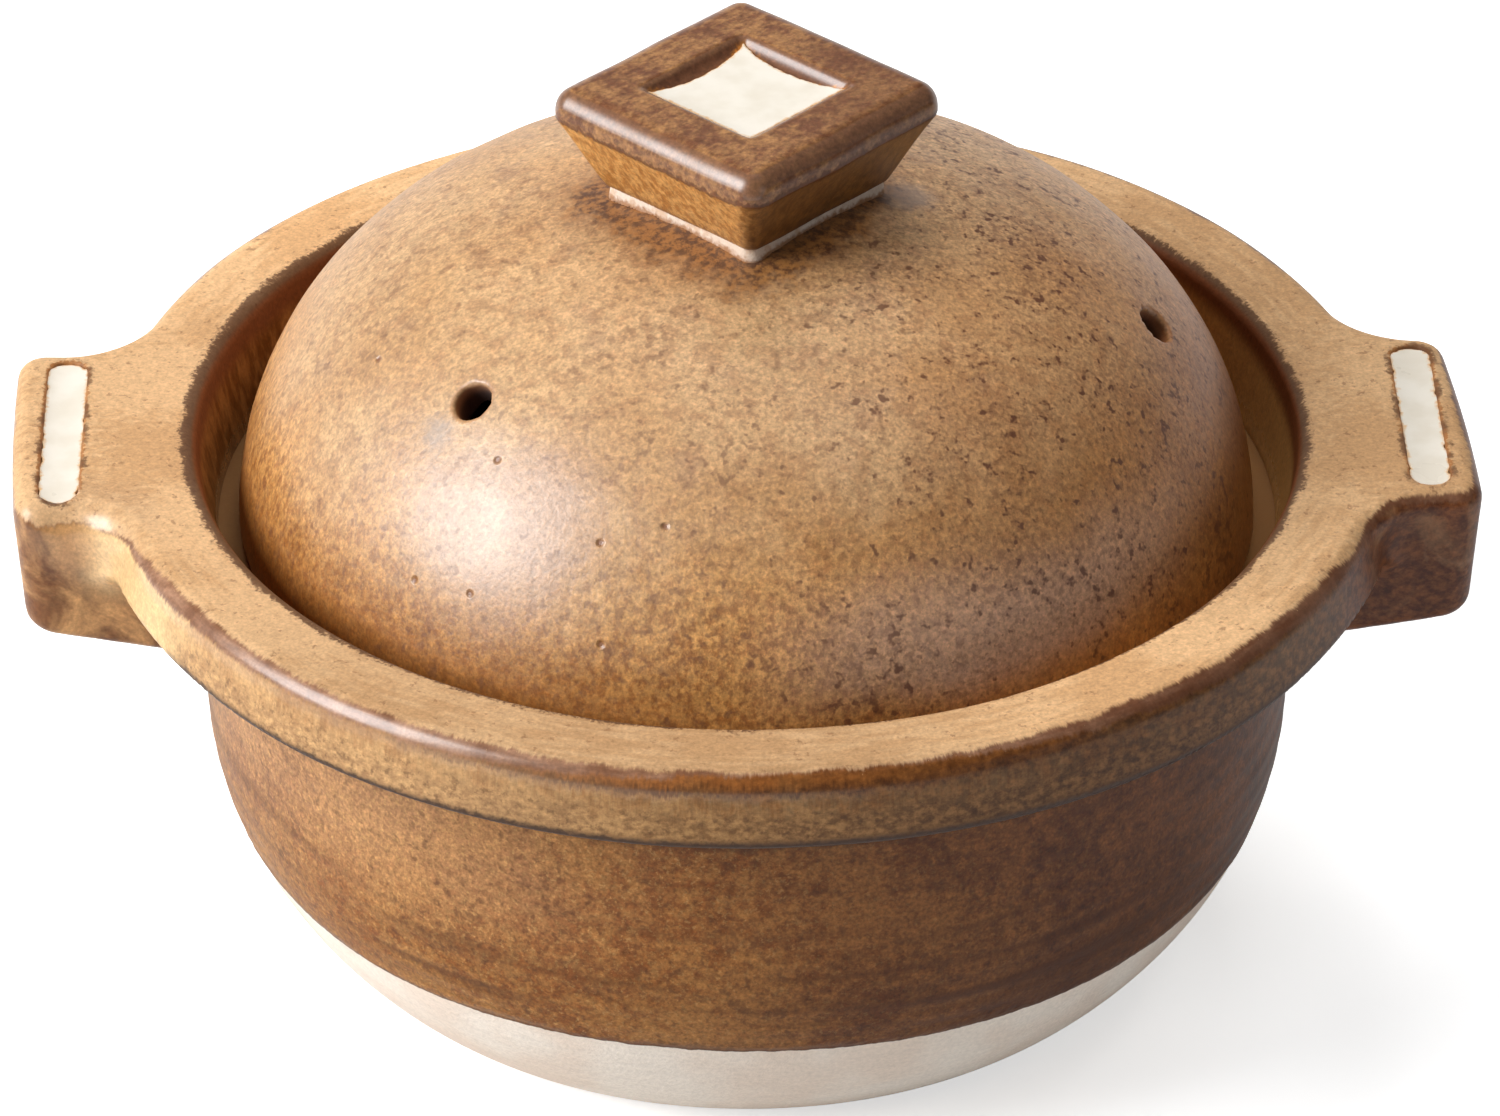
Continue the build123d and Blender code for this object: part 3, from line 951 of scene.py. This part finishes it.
def sand_glaze():
    """The brim and the lugs: sand on top, broken by the edges, and brown on the upright faces."""
    g = Glaze("sand_glaze", IOR=1.38, Coat_Roughness=0.24)
    rim = g.mark("rim", "Vector")
    down = g.less(brim_top, g.z)
    lug = g.rise(g.aside(), lug_from, lug_full)
    teeth = g.noise(0.8, 2, vector=g.shift(rim, g.stretch(g.place, 0.15)), seed=2)
    sway = g.noise(9, 3, 0.5, vector=rim, seed=4)
    patch = g.noise(30, 2, 0.5, seed=5)
    inward = g.node("CombineXYZ", {2: g.mark("inset")}).outputs[0]
    lines = g.noise(1.6, vector=g.shift(g.stretch(rim, 0.12), inward), seed=6)
    cloth = g.noise(1.6, squash=(0.5, 1, 1), seed=7)
    lines = g.add(g.times(lines, g.less(1, lug)), g.times(cloth, lug))
    sand_share = g.add(g.times(lines, 0.4), g.times(patch, 0.6))
    sand = g.blend(sand_share, 0.42, 0.58, (190, 148, 104), (207, 167, 123))
    front = g.rise(g.y, -40, -100)
    darker = g.times(front, g.rise(g.x, 60, 10), 0.12)
    lighter = g.add(g.times(front, g.rise(g.x, 20, 80), 0.14), g.times(g.rise(g.x, -60, -110), 0.05))
    lighter = g.add(lighter, g.times(g.rise(g.y, 30, 90), g.rise(g.x, 0, -60), 0.25))
    g.colour = g.scaled(sand, g.add(1, lighter, g.times(darker, -1)))
    g.paint((124, 84, 56), g.rise(g.noise(1.9, 3, 0.65, seed=8), 0.6, 0.7), 0.55)
    border, depth = brim_edge_layers(g, down, lines, sway, teeth)
    wall = mouth_layers(g, sway)

    white = g.add(g.mark("white"), g.ragged(1, 3, 13, detail=2))
    on_top = g.rise(down, 2.6, 1.6)
    g.paint((160, 102, 52), g.rise(white, 0.9, 0.4), on_top, 0.85)
    browned = g.rise(g.noise(9, 3, 0.55, seed=14), 0.46, 0.56)
    g.paint((98, 64, 42), g.rise(white, 1.7, 1), browned, on_top, 0.75)

    relief = grained(g, 0.6, 16)
    # Small bright spots near the outer edge: painted glints, with a little bump.
    near_edge = g.times(g.between(depth, 0.6, 3.4, 0.5), g.rise(patch, 0.4, 0.55))
    painted_glints = g.times(g.rise(g.noise(0.8, 2, 0.7, seed=15), 0.68, 0.74), near_edge)
    g.paint((240, 196, 140), painted_glints, 0.8)
    rough = g.add(g.less(0.55, g.add(g.times(border, 0.2), g.times(wall, 0.1))), g.swing(lines, 0.1))
    height = g.add(relief, g.times(lines, 0.05), g.times(teeth, 0.02), g.times(painted_glints, 0.1))
    on_edge = g.times(border, g.rise(depth, -6.5, -4.5), g.rise(g.x, 40, -10))
    on_flare = g.rise(g.distance((*flare_place, brim_top - 3)), 18, 10)
    return g.finish(rough, height, coat=g.most(g.times(on_edge, 0.8), on_flare))


def brown_glaze():
    """The bowl: brown, with a painted sheen at the upper left, darker to the right from the fire and from
    painted shade, and painted shade under the brim, on a bare clay foot.
    """
    g = Glaze("brown_glaze", IOR=1.33)
    inside = g.mark("inside")
    mottle = g.noise(2.6, 4, 0.7, squash=(0.8, 0.8, 1), seed=2)
    cloud = g.noise(26, 3, 0.5, seed=3)
    rings = g.noise(4.4, 1, 0.5, squash=(0.05, 0.05, 1), seed=4)
    tone = g.rise(g.add(g.times(mottle, 0.6), g.times(cloud, 0.4)), 0.38, 0.62)
    g.colour = g.mix(tone, (138, 78, 28), (182, 126, 66))
    # A paler patch on the upper left of the wall: painted sheen.
    painted_sheen_left = g.rise(g.add(g.x, g.swing(cloud, 50)), -10, -80)
    pale = g.times(painted_sheen_left, g.rise(g.add(g.z, g.swing(mottle, 14)), 40, 76))
    g.paint((184, 141, 100), pale, 0.6)
    g.paint((204, 160, 98), g.rise(g.noise(1, 3, 0.7, seed=8), 0.54, 0.66), 0.45)
    # Darker towards +X and the front, from the fire and from painted shade.
    g.paint(g.mix(tone, (64, 26, 8), (116, 62, 26)), g.browned_and_shaded(-30, 120), 0.9)
    relief = grained(g, 1.2, 5)
    ringed = g.rise(g.add(rings, g.swing(mottle, 0.25)), 0.46, 0.72)
    ringed = g.times(ringed, g.less(1, g.times(pale, 0.7)), g.rise(g.x, 120, 60))
    low_wall = g.rise(g.z, 80, 46)
    g.paint((80, 40, 16), ringed, g.add(0.12, g.times(low_wall, 0.66)))
    specks(g, (84, 48, 26), 0.5, 10)
    g.colour = g.scaled(g.colour, g.less(1, g.times(g.rise(g.z, 68, 44), 0.17)))

    line = g.add(glaze_line, g.ragged(5, 1.6, 20), g.times(inside, -60))
    above = g.less(g.z, line)
    g.paint((84, 46, 22), g.rise(above, 1.6, 0.2), 0.7)
    holes = g.spots(19, 1.1, seed=21, keep=0.5)
    g.paint((66, 34, 20), holes, 0.75)
    # Darker just under the brim: painted shade.
    shade_under_brim = g.rise(g.add(g.z, g.ragged(4, 3, 23, rough=0.55)), 84.5, 88)
    g.paint((66, 40, 26), shade_under_brim, g.less(1, inside), 0.7)
    ledge = g.rise(g.z, seat_height - 1.2, seat_height - 0.6)
    g.paint((140, 98, 56), ledge, 0.8)
    clay, grain = bare(g, 24)
    glazed = g.rise(above, -0.1, 0.15)
    g.colour = g.mix(glazed, clay, g.colour)
    rough = g.add(g.times(glazed, -0.42), 0.84, g.swing(mottle, 0.12), g.times(ledge, 0.2))
    relief = g.add(relief, g.times(mottle, 0.06), g.times(rings, 0.1), g.times(holes, -0.4))
    return g.finish(rough, g.add(g.times(glazed, relief), g.times(g.less(1, glazed), grain)))


def knob_glaze():
    """The knob: brown on top, amber on its sides, darker on the right one, and worn at the edges."""
    g = Glaze("knob_glaze", IOR=1.5, Coat_Roughness=0.34, Coat_IOR=1.6)
    edge = g.mark("edge")
    across = g.add(g.times(g.x, math.cos(knob_turn)), g.times(g.y, math.sin(knob_turn)))
    along = g.add(g.times(g.x, -math.sin(knob_turn)), g.times(g.y, math.cos(knob_turn)))
    turned = g.node("CombineXYZ", {0: g.times(across, 0.6), 1: along, 2: g.z}).outputs[0]
    mottle = g.noise(1.7, 4, 0.7, vector=turned, seed=2)
    cloud = g.noise(9, 3, 0.55, seed=3)
    runs = g.noise(1.6, 3, 0.65, squash=(1, 1, 0.4), seed=4)
    top_share = g.add(g.times(mottle, 0.6), g.times(cloud, 0.4))
    top = g.blend(top_share, 0.4, 0.62, (112, 70, 46), (162, 116, 72))
    top = g.tint(top, (96, 58, 36), g.rise(g.x, 2, 24), 0.4)
    side = g.blend(runs, 0.38, 0.62, (174, 116, 52), (214, 160, 92))
    to_right = g.add(along, g.times(g.less(g.z, knob_low), 0.5))
    shaded = g.add(g.times(g.rise(to_right, -15.5, -20.5), 0.85), g.swing(runs, 0.5))
    side = g.mix(shaded, side, g.blend(runs, 0.36, 0.64, (58, 30, 12), (116, 74, 32)))
    level = g.add(g.z, g.swing(runs, 3), g.swing(cloud, 2.4))
    g.colour = g.blend(level, knob_band_low + 0.2, knob_band_low + 1.4, side, top)
    g.paint((122, 84, 60), g.rise(g.add(edge, g.swing(mottle, 0.3)), 0.2, 0.6), 0.75)
    g.paint((84, 40, 16), g.between(level, knob_band_low - 0.4, knob_band_low + 0.9, 0.35), 0.85)
    g.paint((120, 80, 48), g.rise(level, knob_low + 2.6, knob_low + 0.6), 0.4)
    near_dish = g.rise(g.from_axis(), dish_half * 1.5, dish_half * 1.2)
    in_dish = g.times(near_dish, g.rise(g.z, knob_top - 0.5, knob_top - 1.3))
    g.paint((104, 64, 42), in_dish, 0.6)
    white = g.add(g.mark("white"), g.ragged(1.1, 1.6, 5, detail=2))
    g.paint((196, 128, 50), g.rise(white, 1.1, 0.1), in_dish)
    relief = grained(g, 0.9, 6)
    height = g.add(g.times(relief, 0.5), g.times(mottle, 0.02))
    height = g.times(height, g.less(1, g.rise(edge, 0.1, 0.5)))
    return g.finish(g.add(0.33, g.swing(mottle, 0.06)), height, coat=g.times(g.rise(edge, 0.15, 0.6), 0.7))


def bare_clay():
    """The knob's foot: cream clay, stained, with a splash of glaze from the dome."""
    g = Glaze("bare_clay")
    g.colour, grain = bare(g, 1)
    stain = g.rise(g.noise(4, seed=3), 0.5, 0.66)
    g.paint((206, 160, 116), g.add(0.25, g.times(stain, 0.4)))
    splash = g.rise(g.add(g.mark("above"), g.ragged(1.6, 3, 4)), 1.5, 0.2)
    g.paint((164, 108, 58), splash, 0.8)
    return g.finish(g.add(0.8, g.times(grain, 0.5)), grain)


def white_glaze():
    """The white pools, amber along their shores."""
    g = Glaze("white_glaze", IOR=1.5)
    cloud = g.noise(9, 3, 0.5)
    g.colour = g.blend(cloud, 0.35, 0.65, (225, 216, 200), (234, 227, 214))
    fringe = g.rise(g.add(g.mark("shore"), g.ragged(0.9, 1.6, 2)), 0.9, 0)
    g.paint((222, 166, 90), fringe, 0.75)
    return g.finish(g.add(0.24, g.times(cloud, 0.1)), g.times(g.noise(4, 2, 0.55), 0.04))


def build_bowl():
    wall = steps(-bowl_radius, bowl_radius, bowl_cell)
    lines = (wall, wall, steps(0, seat_height, bowl_cell))
    clay_piece("bowl_body", bowl_clay, lines, brown_glaze(), "pot", ["bowl"], bowl_marks)


def build_brim():
    slots = [(slot_middle(side), slot_radius + 2) for side in (1, -1)]
    lines = (
        steps(-lug_reach, lug_reach, brim_cell, slot_edge_cell, slots),
        steps(-brim_radius, brim_radius, brim_cell),
        steps(seat_height - 18, brim_top, brim_cell, brim_edge_cell, [(brim_top, 5)]),
    )
    nodes = ["brim", "left_lug", "right_lug"]
    clay_piece("brim_with_lugs", brim_clay, lines, sand_glaze(), "pot", nodes, brim_marks)


def build_lid():
    wall = []
    for axis in (0, 1):
        places = [(middle[axis], vent_radius + 2) for middle, way in vents()]
        wall.append(steps(-lid_radius, lid_radius, lid_cell, vent_cell, places))
    lines = (*wall, steps(lid_low, lid_top, lid_height_cell, lid_edge_cell, [(lid_low, 4)]))
    clay_piece("lid_body", lid_clay, lines, amber_glaze(), "lid", ["lid_dome"], lid_marks)


def build_knob():
    half = knob_half * 1.4
    wall = steps(-half, half, knob_cell)
    lines = (wall, wall, steps(knob_low, knob_top, knob_cell))
    clay_piece("knob_block", knob_clay, lines, knob_glaze(), "lid", ["knob"], knob_marks)
    lines = (wall, wall, steps(knob_low - 7, knob_low + 1, knob_foot_cell))
    clay = bare_clay()
    clay_piece("knob_bare_foot", knob_foot_clay, lines, clay, "lid", ["knob_foot"], foot_marks)


def build_whites():
    """The white glaze in the knob's hollow and in the lugs' slots."""
    white = white_glaze()
    half = dish_half * 1.5
    wall = steps(-half, half, white_cell)
    lines = (wall, wall, steps(knob_top - 4, knob_top, white_cell))
    marks = shore_marks(dish_pool)
    clay_piece("knob_white", knob_white, lines, white, "lid", ["knob_inlay"], marks)

    for side, node in ((1, "right_lug_inlay"), (-1, "left_lug_inlay")):
        middle = slot_middle(side)
        half = slot_radius + 2
        lines = (
            steps(middle - half, middle + half, white_cell),
            steps(-slot_half_length - 2, slot_half_length + 2, white_cell),
            steps(brim_top - 3, brim_top, white_cell),
        )
        name = node.replace("inlay", "white")
        marks = shore_marks(lambda x, y, side=side: slot_shore(x, y, side))
        clay_piece(name, slot_white(side), lines, white, "pot", [node], marks)


def face(thing, target, way, distance=1):
    """Puts a lamp or a camera at a distance from a target, facing it."""
    thing.location = target + way * distance
    thing.rotation_mode = "QUATERNION"
    thing.rotation_quaternion = way.to_track_quat("Z", "Y")


def lamp(name, azimuth, elevation, distance, size, power, mirrored=True):
    """A square soft light that faces the pot, at an azimuth from +X and an elevation, in degrees."""
    turn, rise = math.radians(azimuth), math.radians(elevation)
    way = Vector((math.cos(rise) * math.cos(turn), math.cos(rise) * math.sin(turn), math.sin(rise)))
    light = bpy.data.lights.new(name, "AREA")
    light.size = size
    light.energy = power
    holder = new_object(name, light)
    face(holder, Vector((0, 0, 0.1)), way, distance)
    holder.visible_glossy = mirrored


def white_room():
    """A dim room, plain white to the camera, that mirrors as a low white wall behind the pot."""
    world = bpy.data.worlds.new("studio")
    bpy.context.scene.world = world
    world.use_nodes = True
    tree = world.node_tree
    white = (1, 1, 1, 1)
    dim = tree.nodes["Background"]
    fill(tree, dim, {"Color": white, "Strength": 0.06})
    bright = new_node(tree, "Background", {"Color": white, "Strength": 1.0})
    path = new_node(tree, "LightPath").outputs
    way = new_node(tree, "TexCoord").outputs["Generated"]
    low_wall = new_node(tree, "VectorMath", {0: way, 1: (0, 1, -1.5)}, operation="DOT_PRODUCT")
    ramp = {"Value": low_wall.outputs["Value"], "From Min": 0.1, "From Max": 0.9}
    behind = new_node(tree, "MapRange", ramp).outputs[0]
    mirrored = reckon(tree, "MULTIPLY", path["Is Glossy Ray"], behind)
    seen = reckon(tree, "MAXIMUM", path["Is Camera Ray"], mirrored)
    seen = reckon(tree, "MAXIMUM", seen, path["Is Transmission Ray"])
    choose = new_node(tree, "MixShader", {0: seen, 1: dim.outputs[0], 2: bright.outputs[0]})
    fill(tree, tree.nodes["World Output"], {"Surface": choose.outputs[0]})


def paper_floor():
    """A plain pale floor, a hair under the foot, that looks white and keeps the pot's shadow."""
    floor = bpy.data.meshes.new("floor")
    half = 1.6
    corners = [(-half, -half, 0), (half, -half, 0), (half, half, 0), (-half, half, 0)]
    floor.from_pydata(corners, [], [(0, 1, 2, 3)])
    ground = new_object("floor", floor)
    ground.location.z = -0.4 * MM
    paper = bpy.data.materials.new("floor_paper")
    paper.use_nodes = True
    tree = paper.node_tree
    lift = reckon(tree, "MULTIPLY", new_node(tree, "LightPath").outputs["Is Camera Ray"], 0.6)
    inputs = {"Base Color": (0.82, 0.82, 0.82, 1), "Roughness": 0.9}
    inputs |= {"Emission Color": (1, 1, 1, 1), "Emission Strength": lift}
    fill(tree, tree.nodes["Principled BSDF"], inputs)
    floor.materials.append(paper)


def camera():
    """The photograph's camera: 1.77 metres away, 32 degrees above the horizon."""
    eye = Vector((-34.3, -1495.6, 1024.7)) * MM
    target = Vector((0.67, 0.0, 82.34)) * MM
    data = bpy.data.cameras.new("camera")
    data.lens = 202.84
    data.sensor_width = 36.0
    data.shift_y = 0.0017
    data.clip_end = 20
    view = new_object("camera", data)
    face(view, target, eye - target)
    bpy.context.scene.camera = view


build_bowl()
build_brim()
build_lid()
build_knob()
build_whites()
lamp("key", azimuth=-164, elevation=31, distance=3.2, size=1.9, power=132)
lamp("back", azimuth=90, elevation=55, distance=2.4, size=1.2, power=28, mirrored=False)
lamp("right", azimuth=-5, elevation=70, distance=2.6, size=1.1, power=17, mirrored=False)
lamp("fill", azimuth=-41, elevation=18, distance=2.4, size=0.8, power=1.8)
white_room()
paper_floor()
camera()
bpy.context.scene.view_settings.view_transform = "Standard"
